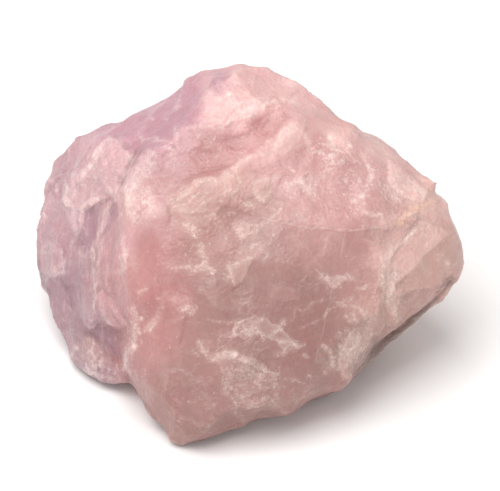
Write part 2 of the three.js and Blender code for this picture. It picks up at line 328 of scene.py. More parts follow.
def turned(points, salt):
    """The places turned about the origin by an angle of their own, so that no two noises line up."""
    a, b = 1.3 * salt + 0.4, 0.7 * salt + 1.1
    about_z = np.array([[math.cos(a), -math.sin(a), 0], [math.sin(a), math.cos(a), 0], [0, 0, 1]])
    about_x = np.array([[1, 0, 0], [0, math.cos(b), -math.sin(b)], [0, math.sin(b), math.cos(b)]])
    return points @ about_z.T @ about_x.T


def noise(points, size, salt):
    """Smooth noise from -1 to 1 with lumps of about the given size."""
    places = turned(points, salt) / size
    cells = np.floor(places)
    part = places - cells
    ease = part * part * (3 - 2 * part)
    total = np.zeros(len(points))
    for corner in itertools.product((0, 1), repeat=3):
        weight = np.prod(np.where(corner, ease, 1 - ease), axis=1)
        total += weight * random_of(cells + corner, salt)
    return total * 2 - 1


def rough_noise(points, size, salt, octaves=4):
    """Noise with finer and finer lumps laid over it."""
    total = np.zeros(len(points))
    for n in range(octaves):
        total += noise(points, size / 2**n, salt + n) * 0.5**n
    return total


def facets(points, size, salt):
    """Tilted, nearly flat bowls that meet in sharp rims, as breaks in quartz do.

    Gives their height, which is about 0 on average, and a number from 0 to 1 for each point's bowl.
    """
    curve, tilt, drop = 0.6, 0.65, 0.35
    places = turned(points, salt) / size
    cells = np.floor(places)
    lowest = np.full(len(points), np.inf)
    mark = np.zeros(len(points))
    for step in itertools.product((-1, 0, 1), repeat=3):
        cell = cells + step
        seed = cell + np.stack([random_of(cell, salt + k) for k in range(3)], axis=1)
        slope = np.stack([random_of(cell, salt + 3 + k) for k in range(3)], axis=1) * 2 - 1
        away = places - seed
        bowl = curve * (away**2).sum(1) + tilt * (away * slope).sum(1) + drop * random_of(cell, salt + 6)
        mark = np.where(bowl < lowest, random_of(cell, salt + 7), mark)
        lowest = np.minimum(lowest, bowl)
    return lowest - lowest.mean(), mark


def line_distance(across, up, corners):
    """The distance from a line of corners, and the side: above 0 to the left of the way it runs."""
    best = np.full(len(across), np.inf)
    side = np.ones(len(across))
    for (x0, y0), (x1, y1) in zip(corners, corners[1:]):
        dx, dy = x1 - x0, y1 - y0
        along = np.clip(((across - x0) * dx + (up - y0) * dy) / (dx * dx + dy * dy), 0, 1)
        gap = np.hypot(across - x0 - along * dx, up - y0 - along * dy)
        nearer = gap < best
        best = np.where(nearer, gap, best)
        side = np.where(nearer, np.sign(dx * (up - y0) - dy * (across - x0)), side)
    return best, side


def patch_gap(across, up, corners):
    """How far each point is from a closed patch's edge, above 0 inside it."""
    gap, _ = line_distance(across, up, corners + corners[:1])
    inside = np.zeros(len(across), dtype=bool)
    for (x0, y0), (x1, y1) in zip(corners, corners[1:] + corners[:1]):
        if y0 != y1:
            crossing = across < x0 + (up - y0) * (x1 - x0) / (y1 - y0)
            inside ^= ((y0 > up) != (y1 > up)) & crossing
    return np.where(inside, gap, -gap)


def wandered(face, points, by, size, salts):
    """Each point's place on the face, shifted about so that what is drawn there has no straight edges."""
    shifts = [by * rough_noise(points, size, salt, 3) for salt in salts]
    return face.across + shifts[0], face.up + shifts[1]


def patch_gaps(face, points, patches):
    """Each patch's gap, with edges that wander a little."""
    across, up = wandered(face, points, 0.25, 2.0, (90, 93))
    return [patch_gap(across, up, patch.corners) for patch in patches]


def nearness(face, place, reach):
    """How near each point is to a place on the face, from 0 to 1."""
    x, y = place
    return np.exp(-((face.across - x) ** 2 + (face.up - y) ** 2) / (2 * reach**2))


# Fine relief of the broad face.

# Ledges, as (rise in mm, reach in mm, corners): the face is raised to the left of the way the corners run.
FACE_LEDGES = {
    "step across the face": (
        0.2, 5, [(-0.5, 9.5), (6, 7.8), (11.5, 6.7), (22, 5.5), (31, 6.4), (35, 8.5), (40.5, 11)],
    ),
    "lip of the top shelf": (
        0.25, 3, [(-10.8, 30.4), (-6.4, 29.4), (-2.3, 30.8), (1.2, 30.8), (3, 32.4), (6, 33.1), (9.2, 36)],
    ),
    "upper flake": (0.25, 2.0, [(-3.5, 33), (0, 34.7), (4.2, 35.7)]),
    "lower flake": (0.25, 1.6, [(-1.6, 31.4), (2.8, 33.8), (6.5, 35.4)]),
    "ledge in the hollow": (0.2, 3, [(-10.8, 24.2), (-6.4, 23.7), (-2.3, 22.8)]),
    "foot of the hollow": (-0.2, 2.5, [(-13.5, 17.4), (-9, 18.2), (-5, 19.4), (-1, 22)]),
    "fibrous patch": (0.35, 3, [(-18.6, 9.5), (-18.2, 12), (-14, 15.4), (-10.8, 16.2)]),
    "right facet": (0.2, 4, [(35.6, -4.6), (41.4, 1.2), (47.2, 4.6)]),
    "peach facet": (0.3, 3, [(31, -16), (30.6, -10), (32, -1), (37, 7)]),
    "pale lower patch": (0.3, 3, [(23.5, -27), (25, -20), (30, -17.5)]),
}

# Grooves, as (depth in mm, half width in mm, corners).
FACE_GROOVES = {
    "crevice under the lip": (
        1.1, 0.6,
        [(46.6, -6.2), (43.4, -9), (41, -11.6), (38.4, -14), (35.6, -16.4), (32.4, -18.4), (29.2, -20.2),
         (26.2, -23.4)],
    ),
    "split above the crevice": (0.5, 0.4, [(37.6, -13), (34, -16), (30, -18.4), (28, -19.8)]),
    "groove in the left lobe": (0.7, 0.7, [(-37, -18), (-34, -21), (-31.5, -24.5)]),
    "left hollow": (0.3, 0.8, [(-43, -7.4), (-41.2, -11)]),
    "dark hollow": (0.8, 1.8, [(-34.4, -17), (-31, -19.4)]),
}

# How broken up the face is, as ((across, up), reach in mm, strength); elsewhere it is fairly smooth.
BROKEN_PLACES = [
    ((-3, 33), 9, 0.6),
    ((-8, 22), 9, 0.4),
    ((-24, 20), 7, 0.7),
    ((-37, 18), 9, 1.0),
    ((-40, -2), 10, 0.7),
    ((-36, -20), 9, 1.0),
    ((24, 19), 12, 0.25),
    ((36, 8), 8, 0.8),
    ((33, -12), 8, 0.9),
    ((2, -34), 8, 0.9),
    ((22, -26), 7, 0.7),
]

# Where the face is speckled with small white breaks, as ((across, up), reach in mm, strength).
SPECKLED_PLACES = [
    ((20, 23), 4, 1.3),
    ((25, 17), 7, 0.95),
    ((12, 17), 4, 0.8),
    ((33, 13), 4, 0.8),
    ((-26, 14), 4.5, 0.9),
    ((0, 34), 8, 0.5),
    ((-38, 17), 7, 0.7),
    ((-12, 2), 5, 0.6),
    ((-8, 9), 5, 0.5),
    ((34, -8), 6, 0.7),
    ((2, -31), 6, 0.6),
    ((-36, -26), 3, 1.2),
    ((-31.5, -27), 2.5, 1.0),
    ((25, -22), 5, 0.8),
    ((-36, -20), 7, 0.5),
    ((-38.5, -25), 3.5, 1.0),
    ((-27.4, -18), 3, 0.9),
    ((-22, -16), 5, 0.4),
]

# Places of the face where the CAD model's pits are evened out, as ((across, up), reach in mm).
EVENED_PLACES = [
    ((-10, 20.5), 3.5),
    ((-32.5, -17), 3.0),
    ((6, 33), 3.0),
    ((3, 14), 4.0),
    ((-3, 29), 3.0),
    ((-10.8, 25), 2.5),
]

# Soft swellings of the face, as ((across, up), reach in mm, rise in mm).
SWELLINGS = [
    ((-9.5, 21), 4, 1.4),
    ((-1, 27), 4.5, 0.9),
    ((7, 31), 4, 0.9),
    ((9, 34), 3, 0.7),
]

# Milky veils, as (half width in mm, strength, corners).
VEILS = [
    # the crushed ridge and its white edge
    (2.4, 1.0, [(-23.6, 21.8), (-25.8, 19.4), (-27.8, 15), (-27.6, 11.4), (-26.6, 9)]),
    (1.4, 0.6, [(-24.6, 16), (-22.8, 12), (-22.4, 9.4)]),
    (0.5, 0.8, [(-24.8, 26.4), (-21.6, 26.6), (-18.6, 26)]),
    (0.35, 0.9, [(-25.2, 27.8), (-24.8, 26)]),
    (0.4, 0.6, [(-26.2, -8.7), (-23.9, -7.7)]),
    (0.7, 0.9, [(-29.2, 4.6), (-28.8, 1.2), (-29.6, -1.8), (-30.4, -4)]),
    (0.6, 0.8, [(-35.9, -3.4), (-35.6, -8), (-35.4, -12.6)]),
    (1.2, 0.9, [(-27, -12.6), (-26.6, -16), (-26.9, -20.6), (-28.4, -24), (-29, -26)]),
    (0.6, 0.6, [(-36.4, 1.4), (-37.2, -0.4)]),
    # the left slab and face
    (0.6, 1.0, [(-39.4, 17.4), (-38, 19.8), (-36.4, 20.6), (-35.7, 23.2), (-34.6, 25.6)]),
    (0.3, 1.0, [(-38.7, 10.8), (-36.8, 12), (-35.2, 13.1)]),
    (0.3, 0.9, [(-42.6, 17), (-42.2, 13.8), (-40.9, 10.4)]),
    (0.3, 0.8, [(-39.2, 9.8), (-40, 6), (-41.6, 1.8)]),
    (0.3, 0.8, [(-43, -1.4), (-43.4, -4), (-46, -5.6)]),
    (0.35, 0.8, [(-29.4, 26.1), (-28.7, 24.7), (-27.3, 21.4)]),
    (0.45, 0.9, [(-39, 10.1), (-37.6, 12), (-35.3, 12.9)]),
    (0.35, 0.9, [(-32.5, 12.7), (-34.2, 8), (-35.3, 3.4)]),
    (0.35, 0.7, [(-47.8, 10.4), (-48, 3.8)]),
    (0.6, 0.8, [(-39.3, 0.4), (-38.9, -0.4)]),
    (0.4, 0.7, [(-36.3, 2.9), (-35.3, -1.8)]),
    (0.8, 0.6, [(-36.2, 23.4), (-34.4, 25.8), (-33, 27.2)]),
    (0.7, 0.6, [(-47, 18), (-45.6, 16.4)]),
    (0.6, 0.6, [(-43.2, 17.4), (-42.8, 13), (-41.4, 9.8)]),
    (0.7, 0.8, [(-41.8, -22), (-40.6, -23.6)]),
    (0.6, 0.7, [(-38.6, -26.6), (-36.4, -27.6)]),
    # the top shelf and the hollow
    (0.9, 0.9, [(-11.4, 30), (-8, 29.6), (-5.4, 30), (-3, 31)]),
    (0.7, 0.7, [(-2.4, 32.8), (2.6, 34.2), (5.8, 35.4)]),
    (0.9, 0.7, [(7.6, 36.4), (10.4, 35.6)]),
    (1.6, 0.6, [(8.6, 39.8), (11.6, 39.2)]),
    (1.4, 0.5, [(-7, 35.6), (-2, 33.8)]),
    (0.6, 0.9, [(-3.8, 30.4), (-0.6, 32.2), (2.7, 33.6)]),
    (0.5, 0.7, [(-17, 28.9), (-17.5, 24.2), (-17.9, 21.4)]),
    (1.8, 0.5, [(-11.4, 27), (-8, 26.4)]),
    # white marks on the lilac slope
    (0.4, 0.9, [(-16.1, 35.9), (-17.5, 33.6)]),
    (0.5, 0.8, [(-22.8, 31.8), (-22.4, 31.6)]),
    (0.4, 0.8, [(-19.8, 31.3), (-19.4, 31.1)]),
    # the slanting crest and the fibrous patch
    (0.7, 1.0, [(-18.2, 11.8), (-15.6, 13.8), (-13.4, 15.6), (-12, 16.8)]),
    (0.6, 0.8, [(-12, 16.8), (-8, 17), (-5.4, 18.4)]),
    (0.3, 0.8, [(-17.6, 10.2), (-14.2, 12.6), (-11.6, 15)]),
    (0.3, 0.7, [(-15.6, 9.6), (-12.4, 12), (-9.6, 14.8)]),
    (0.3, 0.6, [(-13, 9.8), (-10, 12.4), (-7.4, 15)]),
    (0.5, 0.8, [(-7.1, 17.6), (-5.7, 19.5), (-3.8, 20.4), (-2, 16.7), (-3.8, 13.9)]),
    (1.0, 0.6, [(-6.4, 17.6), (-3.4, 20.6), (-1, 22.4)]),
    (2.2, 0.5, [(3, 24), (6, 26.4), (9.4, 28.8)]),
    # wisps across the middle
    (1.5, 0.9, [(-14.6, 6.8), (-13, 5.2)]),
    (0.9, 0.9, [(-11.5, 2.6), (-10.8, 0), (-10.4, -1.8), (-8.8, -3.6)]),
    (0.8, 0.7, [(-18.4, -3), (-15.4, -2.4), (-12.4, -3), (-10.2, -3)]),
    (1.1, 0.7, [(-2.8, 7), (-1.4, 6.2)]),
    (0.8, 0.6, [(1, 7.2), (3.8, 8)]),
    (0.5, 0.7, [(-2.9, 6.8), (-2.4, 4.5), (0.4, 5.4), (3.7, 7.8), (7, 11.1)]),
    (0.5, 0.6, [(5.6, 5.4), (4.6, 3.5), (0.4, 1.7), (-1, -0.7)]),
    (1.4, 0.6, [(-4.7, -2.6), (-4.3, -5.4)]),
    (0.35, 0.9, [(7.5, 1.4), (7.5, 1)]),
    (0.4, 0.9, [(0.4, 16.2), (1.8, 13.4), (3.2, 12), (4.2, 13.9)]),
    (0.9, 0.8, [(8.4, 15.8), (11.2, 18.1), (13.1, 14.3)]),
    (0.4, 0.7, [(14, 19), (14.5, 12.5)]),
    (0.5, 0.7, [(-1.9, 12), (0.9, 11.3)]),
    (0.35, 0.8, [(21.8, 10.1), (22, 8.9)]),
    (0.4, 0.6, [(-10.3, -15.2), (-6, -14.8), (-3.2, -15.7)]),
    (0.7, 0.6, [(4.4, 10.8), (6.8, 12)]),
    (1.0, 0.4, [(-3.6, -5), (-2, -1.8), (0.6, 0.4), (2.8, 1.4)]),
    (0.6, 0.9, [(-5, -2.8), (-4, -4)]),
    (0.6, 0.8, [(3.4, -0.6), (4, 0.4)]),
    (1.2, 0.9, [(-14.8, -12.6), (-13.6, -13)]),
    (0.8, 0.8, [(-23.6, -17.4), (-22.6, -15.6), (-21.6, -14)]),
    (0.9, 0.4, [(-20, -10), (-21, -12.6)]),
    # clouds low on the face
    (0.5, 1.0, [(-3.9, -18), (-2.8, -16.2), (-1, -15.2), (0.9, -14.2), (3.2, -14.4)]),
    (1.6, 0.6, [(-2, -16.8), (1.6, -16)]),
    (1.0, 0.6, [(1.4, -16.4), (3, -18.4)]),
    (0.6, 0.7, [(5, -18.4), (6.4, -17.2), (7.2, -15.2)]),
    (0.8, 0.8, [(8, -19.6), (10.4, -20.2), (11.8, -21)]),
    (0.7, 0.7, [(-38, -26.2), (-35.2, -28.1), (-32.2, -28.8)]),
    (0.6, 0.5, [(6, -23), (8.4, -22), (9.6, -21)]),
    (1.2, 0.9, [(-8.6, -23.6), (-6, -22.6), (-5, -22)]),
    (1.3, 0.7, [(-5, -22.4), (-2, -23.6), (1, -24.8), (3, -26.4)]),
    (3.6, 0.55, [(-4.6, -27), (0, -28), (4.6, -29)]),
    (2.0, 0.5, [(-5, -31), (0, -34), (6, -34)]),
    (0.6, 0.5, [(-11, -19.6), (-9.6, -22.4), (-7.4, -23.6)]),
    (1.6, 0.5, [(11, -33), (14, -31.6)]),
    (0.6, 0.8, [(-12.2, -19.5), (-10.7, -21.8), (-8.9, -23.7)]),
    (0.5, 0.5, [(-18.3, -26.5), (-13.6, -27.4)]),
    (0.5, 0.5, [(-14, -33.5), (-11.7, -33.1)]),
    (0.4, 0.6, [(-9, -34.3), (-8.8, -34.8)]),
    (0.9, 0.7, [(-6, -29.3), (-3.7, -33.1), (-2.8, -36.8)]),
    (0.5, 0.7, [(8.4, -28.2), (12.6, -29.4)]),
    # wisps on the lower right
    (0.9, 0.6, [(16.6, -4.6), (18.8, -6.2), (20.4, -6.8)]),
    (1.1, 0.5, [(19.8, -6), (22.2, -4.6), (24, -5)]),
    (0.6, 0.8, [(17, -14.2), (17.6, -13.8)]),
    (0.5, 0.6, [(18, -13.2), (21.8, -10.6), (23.4, -9.8)]),
    (0.35, 0.5, [(11.6, -16.8), (13, -15.9), (14.2, -15.8), (15.8, -14.6)]),
    (0.35, 0.45, [(9.3, -14.3), (10.4, -12.6), (12.4, -12.8), (14, -11.2), (16.4, -10.6)]),
    (0.45, 0.7, [(20.1, -11.5), (24.4, -12.5), (27.6, -16.2)]),
    (1.2, 0.7, [(22.6, -14.4), (24, -15)]),
    (0.4, 0.7, [(24.8, -7.8), (27.2, -7.3)]),
    (0.4, 0.7, [(12.6, -23.2), (14, -23.4)]),
    (0.5, 0.7, [(17.1, -26.8), (17.6, -27.2)]),
    (1.8, 0.4, [(22, -11), (25.4, -13.2), (28, -14.6)]),
    (1.1, 0.6, [(20.4, -18.4), (23, -17.8), (25, -19.2)]),
    (2.2, 0.8, [(21.6, -22), (25, -21.4), (23, -25.6)]),
    (0.6, 0.8, [(16.6, -20.8), (19, -23.6), (20.4, -26)]),
    (0.8, 0.6, [(13.4, -28), (15.2, -28.4)]),
    # the right end
    (0.7, 0.8, [(31.2, -2.4), (31.8, -0.6), (32.8, 1.2), (35.6, 3.4), (37.4, 5.4)]),
    (1.8, 0.6, [(31.8, -2.4), (31.4, -4.8), (32.6, -8), (32, -10.4), (33.4, -14)]),
    (0.6, 0.5, [(44.4, 0), (46.4, -1.8), (46, -5.6)]),
    (0.6, 0.9, [(30.9, -0.7), (30.5, -3.5), (32.3, -8.7)]),
    # the upper right
    (0.5, 0.8, [(26.7, 23.9), (27.6, 18.7), (27.1, 15.5), (25.7, 13.6)]),
    (0.7, 0.8, [(13, 27.2), (14, 24.4), (14.7, 23.4)]),
    (1.0, 0.7, [(24.4, 28), (28.6, 26), (32.4, 23.4)]),
    (0.4, 0.7, [(15.9, 23), (20.1, 22.5)]),
    (2.0, 0.6, [(31, 16), (34, 14)]),
    (1.6, 0.5, [(32.8, 18.6), (36.5, 16.6), (39.6, 15)]),
    (0.5, 0.8, [(23.4, 13.1), (25.7, 10.3), (29.5, 9.4), (29.9, 8)]),
]

# Painted glints: small bright spots laid into the colour where breaks would catch the light, as ((across,
# up), reach in mm, strength).
GLINTS = [
    ((18.4, 27.1), 0.35, 1.0),
    ((23, 25.3), 0.3, 0.9),
    ((-4.8, 37.1), 0.35, 1.0),
    ((5.6, 35.6), 0.3, 0.7),
    ((-25, -14.6), 0.3, 0.6),
    ((-26.6, -21), 0.35, 0.7),
    ((-3.4, -22.8), 0.4, 0.6),
    ((-45, 15), 0.3, 0.6),
    ((-40.2, -21.6), 0.35, 0.6),
    ((36.6, 9.4), 0.3, 0.7),
    ((45.6, -2), 0.3, 0.6),
    ((-18.6, 24.6), 0.3, 0.6),
    ((-37.2, 20.4), 0.3, 0.6),
]

# Painted shade along crack lines, creases and the crevice under the lip, as (half width in mm, strength,
# corners).
CREASE_SHADE_LINES = [
    (0.5, 0.5, [(-26.5, 24.2), (-27.6, 20.7), (-29.9, 16.1)]),
    (0.9, 0.4, [(-29, 25.6), (-28.6, 25)]),
    (0.5, 0.6, [(-37.5, -18), (-34.4, -20.8), (-31.4, -24.2)]),
    (0.3, 0.6, [(-43.8, -5.9), (-42.1, -9.2), (-41.2, -12)]),
    (0.7, 0.5, [(-48.3, -5.3), (-47.2, -8.5)]),
    (0.6, 0.6, [(-28.6, -28.6), (-25.8, -31.8), (-24, -35), (-22, -38.4), (-19.6, -40.2)]),
    (0.7, 0.9, [(47.2, -5.8), (43.4, -9), (41, -11.6), (38.4, -14), (35.6, -16.4), (32.4, -18.4)]),
    (1.1, 0.65, [(32.4, -18.8), (29.2, -20.8), (26.5, -23.4), (24.2, -27)]),
]

# The vein across the face runs along the step. Its right end is stained orange, and a hairline crack
# runs down the face from it.
PALE_VEIN = FACE_LEDGES["step across the face"][2]
STAINED_VEIN = [(34.6, 7.6), (37.5, 10.2), (41.7, 12.1)]
HAIRLINE = [(21.9, 5.3), (20, -4.6), (17.4, -13.8), (15.5, -21.9), (13.1, -31.5)]


def spread_of(face, places):
    """How near each point is to the places, from 0 to about 1."""
    total = np.zeros(len(face.across))
    for place, reach, strength in places:
        total = np.maximum(total, strength * nearness(face, place, reach))
    return total


class Surface:
    """The chunk's mesh as arrays: its places in mm, its edges, and each place's number of neighbours."""

    def __init__(self, mesh):
        self.mesh = mesh
        self.points = np.empty(len(mesh.vertices) * 3)
        mesh.vertices.foreach_get("co", self.points)
        self.points = self.points.reshape(-1, 3) / MM
        self.edges = np.empty(len(mesh.edges) * 2, dtype=np.int64)
        mesh.edges.foreach_get("vertices", self.edges)
        self.edges = self.edges.reshape(-1, 2)
        self.neighbours = self.gathered(np.ones(len(self.edges)), np.ones(len(self.edges)))

    def gathered(self, to_first, to_second):
        """Sums a value per edge onto its two ends."""
        count = len(self.points)
        first = np.bincount(self.edges[:, 0], to_first, count)
        return first + np.bincount(self.edges[:, 1], to_second, count)

    def averaged(self, values, rounds=1):
        """The values evened out between neighbours."""
        for _ in range(rounds):
            a, b = values[self.edges[:, 0]], values[self.edges[:, 1]]
            if values.ndim == 1:
                values = self.gathered(b, a) / self.neighbours
            else:
                columns = [self.gathered(b[:, k], a[:, k]) for k in range(values.shape[1])]
                values = np.stack(columns, axis=1) / self.neighbours[:, None]
        return values

    def write(self):
        self.mesh.vertices.foreach_set("co", (self.points * MM).astype(np.float32).ravel())
        self.mesh.update()

    def normals(self):
        self.write()
        out = np.empty(len(self.points) * 3)
        self.mesh.vertex_normals.foreach_get("vector", out)
        return out.reshape(-1, 3)

    def keep(self, name, values):
        """Keeps a value per vertex on the mesh for the material: a number, or a colour in linear light."""
        if values.ndim == 1:
            made = self.mesh.attributes.new(name, "FLOAT", "POINT")
            made.data.foreach_set("value", values.astype(np.float32))
        else:
            made = self.mesh.attributes.new(name, "FLOAT_COLOR", "POINT")
            rgba = np.concatenate([values, np.ones((len(values), 1))], axis=1)
            made.data.foreach_set("color", rgba.astype(np.float32).ravel())


def remeshed(node):
    """A fine even mesh over the CAD node's shape, as a new object."""
    piece = bpy.data.objects.new("rose_quartz", node.data.copy())
    bpy.context.scene.collection.objects.link(piece)
    skin = piece.modifiers.new("even mesh", "REMESH")
    skin.mode = "VOXEL"
    skin.voxel_size = VOXEL * MM
    skin.use_smooth_shade = True
    bpy.context.view_layer.update()
    shown = piece.evaluated_get(bpy.context.evaluated_depsgraph_get())
    fine = bpy.data.meshes.new_from_object(shown)
    piece.modifiers.clear()
    piece.data = fine
    return piece


class Face:
    """Each point's place against the broad face, and how squarely the surface there looks out of it."""

    def __init__(self, points, normals):
        away = points - FACE_ORIGIN
        self.across, self.up = away @ ACROSS, away @ UP
        self.front = smoothstep(0.05, 0.4, normals @ OUT)


def rest_hold(surface, normals):
    """0 on the flat break that the chunk lies on, rising to 1 a little above it."""
    height = surface.points[:, 2]
    return np.maximum(smoothstep(0.2, 2.5, height), smoothstep(-0.97, -0.7, normals[:, 2]))


def roughen(surface, low, high):
    """Breaks the even mesh up, from broad facets to fine grain, and keeps it inside the CAD model's box."""
    for _ in range(4):
        surface.points = surface.averaged(surface.points)
    face = Face(surface.points, surface.normals())
    even = surface.averaged(surface.points, 60)
    for place, reach in EVENED_PLACES:
        share = face.front * nearness(face, place, reach)
        surface.points = surface.points + (even - surface.points) * share[:, None]
    normals = surface.normals()
    free = rest_hold(surface, normals) * (0.5 + 0.5 * smoothstep(0.05, 0.45, np.abs(normals @ OUT)))
    face = Face(surface.points, normals)
    broken = np.where(face.front > 0.02, spread_of(face, BROKEN_PLACES), UNSEEN_BROKEN)
    start = surface.points.copy()
    warped = start + np.stack([rough_noise(start, 9, 40 + k, 3) for k in range(3)], axis=1) * 1.2

    # broad breaks, and the face's ledges, grooves, swellings, patches and plates
    height, mark = facets(warped, 9, 1)
    tones = 0.6 * mark
    shift = SWELL + 2.8 * height * (0.2 + 0.8 * broken)
    across, up = wandered(face, start, 0.6, 3, (9, 12))
    for rise, reach, corners in FACE_LEDGES.values():
        gap, side = line_distance(across, up, corners)
        step = smoothstep(-0.3, 0.3, side * gap) - 0.5
        shift += face.front * rise * step * np.exp(-((gap / reach) ** 2))
    for depth, half_width, corners in FACE_GROOVES.values():
        gap, _ = line_distance(across, up, corners)
        shift -= face.front * depth * np.exp(-((gap / half_width) ** 2))
    for place, reach, rise in SWELLINGS:
        shift += face.front * rise * nearness(face, place, reach)
    for gap, patch in zip(patch_gaps(face, start, PATCHES), PATCHES):
        shift += face.front * patch.rise * smoothstep(-0.35, 0.35, gap)
    for gap in patch_gaps(face, start, PLATES):
        shift += face.front * PLATE_RISE * smoothstep(-0.3, 0.3, gap)
    surface.points = start + normals * (shift * free)[:, None]

    # smaller breaks, and long ones down the left face
    normals = surface.normals()
    height, mark = facets(warped, 4.4, 2)
    tones += 0.4 * mark
    shift = 1.1 * height * (0.1 + 0.9 * broken)
    streaked = start * np.array([1.0, 0.35, 0.35]) + 0.4 * rough_noise(start, 6, 50, 3)[:, None]
    on_left = smoothstep(-27, -33, face.across) * face.front
    shift += 0.7 * facets(streaked, 2.6, 3)[0] * on_left
    surface.points = surface.points + normals * (shift * free)[:, None]

    # grain
    normals = surface.normals()
    shift = 0.3 * facets(start, 2.1, 4)[0] * (0.1 + 0.9 * broken)
    shift += 0.05 * rough_noise(start, 1.2, 60, 2)
    surface.points = surface.points + normals * (shift * free)[:, None]

    surface.points = np.clip(surface.points, low, high)
    surface.write()
    return broken, tones


def linear(srgb):
    """A colour in linear light from one given as sRGB."""
    c = np.array(srgb) / 255.0
    return np.where(c <= 0.04045, c / 12.92, ((c + 0.055) / 1.055) ** 2.4)


def tinted(points, face, gaps):
    """The stone's tint at each point, blended between its places, with the patches' tints laid over it."""
    across, up = wandered(face, points, 2.5, 12, (70, 75))
    total = np.zeros((len(points), 3))
    weight = np.zeros(len(points))
    for name, (x, y), reach in TINT_PLACES:
        share = 1 / (((across - x) ** 2 + (up - y) ** 2) / reach**2 + 0.15) ** 2
        total += share[:, None] * linear(TINTS[name])
        weight += share
    tint = total / weight[:, None]
    gap, side = line_distance(face.across, face.up, PALE_VEIN)
    below = 0.6 * smoothstep(-0.3, 0.3, -side * gap) * np.exp(-gap / 7) * smoothstep(33, 29, face.across)
    tint += (below * face.front)[:, None] * (linear(TINTS["mauve"]) - tint)
    for gap, patch in zip(gaps, PATCHES):
        if patch.tint:
            cover = patch.strength * smoothstep(-patch.soft, patch.soft, gap) * (face.front > 0.02)
            tint += cover[:, None] * (linear(TINTS[patch.tint]) - tint)
    return tint


def most_inside(gaps):
    """How far each point is inside the patch that it is deepest in, or how little it is outside them."""
    return np.maximum.reduce([np.full(len(gaps[0]), -FAR), *gaps])


def plated(points, face):
    """How far each point is inside the pale plates and clouds, and how milky the nearest one is."""
    most = np.full(len(points), -FAR)
    milky = np.zeros(len(points))
    for gap, plate in zip(patch_gaps(face, points, PLATES + CLOUDS), PLATES + CLOUDS):
        milky = np.where(gap > most, plate.milky, milky)
        most = np.maximum(most, gap)
    return np.where(face.front > 0.05, most, -FAR), milky * face.front


def drawn(points, face, lines, salt):
    """How strongly lines of (half width in mm, strength, corners) show at each point of the broad face."""
    across, up = wandered(face, points, 0.7, 3, (salt, salt + 4))
    most = np.zeros(len(points))
    for half_width, strength, corners in lines:
        gap, _ = line_distance(across, up, corners)
        most = np.maximum(most, strength * np.exp(-((gap / half_width) ** 2)))
    return most * face.front


def signed_gap(points, face, corners):
    """The distance from a line, negative on one side and FAR where it is far off."""
    across, up = wandered(face, points, 0.3, 4, (96, 99))
    gap, side = line_distance(across, up, corners)
    side = np.where(side < 0, -1, 1)
    x0, y0 = corners[0]
    x1, y1 = corners[-1]
    length = math.hypot(x1 - x0, y1 - y0)
    along = ((across - x0) * (x1 - x0) + (up - y0) * (y1 - y0)) / length
    beside = smoothstep(-0.5, 0.5, along) * smoothstep(-0.5, 0.5, length - along) * (face.front > 0.05)
    near = np.clip(gap * side, -FAR, FAR)
    return near + (FAR * side - near) * (1 - beside)


def paint(surface, broken, tones):
    """Keeps what the material reads on the mesh. The gaps let it draw edges that are finer than the mesh."""
    points = surface.points
    normals = surface.normals()
    face = Face(points, normals)
    gaps = patch_gaps(face, points, PATCHES)
    tone = 1 + (tones - 0.5) * (0.1 + 0.2 * broken)
    surface.keep("tint", np.clip(tinted(points, face, gaps) * tone[:, None], 0, 1))
    # the breaks that face away from the light, darkened as painted shade
    shade_gaps = [gap for gap, patch in zip(gaps, PATCHES) if not patch.tint]
    surface.keep("break shade", np.where(face.front > 0.05, most_inside(shade_gaps), -FAR))

    # the patches' white rims, drawn in two sets so that rims that cross both show
    white = [patch.whiteness * np.exp(-((gap / 1.2) ** 2)) for gap, patch in zip(gaps, PATCHES)]
    surface.keep("white", np.maximum.reduce(white) * face.front)
    for n, name in enumerate(("rim a", "rim b")):
        rims = [gap for gap, patch in zip(gaps[n::2], PATCHES[n::2]) if patch.whiteness > 0]
        surface.keep(name, most_inside(rims))

    inside, milky = plated(points, face)
    surface.keep("plate", inside)
    surface.keep("milky", milky)
    far_side = smoothstep(0.25, 0.9, rough_noise(points, 13, 110)) * (1 - face.front)
    surface.keep("veil", np.maximum(drawn(points, face, VEILS, 80), 0.9 * far_side))
    # painted shade along the crack lines, creases and crevices
    surface.keep("dark", drawn(points, face, CREASE_SHADE_LINES, 120))
    surface.keep("hairline", signed_gap(points, face, HAIRLINE))
    surface.keep("vein", signed_gap(points, face, PALE_VEIN))
    stain, _ = line_distance(face.across, face.up, STAINED_VEIN)
    surface.keep("stain", np.exp(-((stain / 0.9) ** 2)) * face.front)
    surface.keep("glint", spread_of(face, GLINTS) * face.front)
    surface.keep("speckled", spread_of(face, SPECKLED_PLACES) * face.front)
    surface.keep("left", smoothstep(-26, -32, face.across) * face.front)

    # edges wear white, hollows are deeper in colour, and broken parts are rougher
    bend = ((points - surface.averaged(points, 4)) * normals).sum(1)
    depth = ((surface.averaged(points, 30) - points) * normals).sum(1)
    surface.keep("wear", smoothstep(0.02, 0.14, surface.averaged(bend, 1)))
    surface.keep("hollow", smoothstep(0.05, 0.7, surface.averaged(depth, 3)))
    surface.keep("broken", surface.averaged(broken, 3))


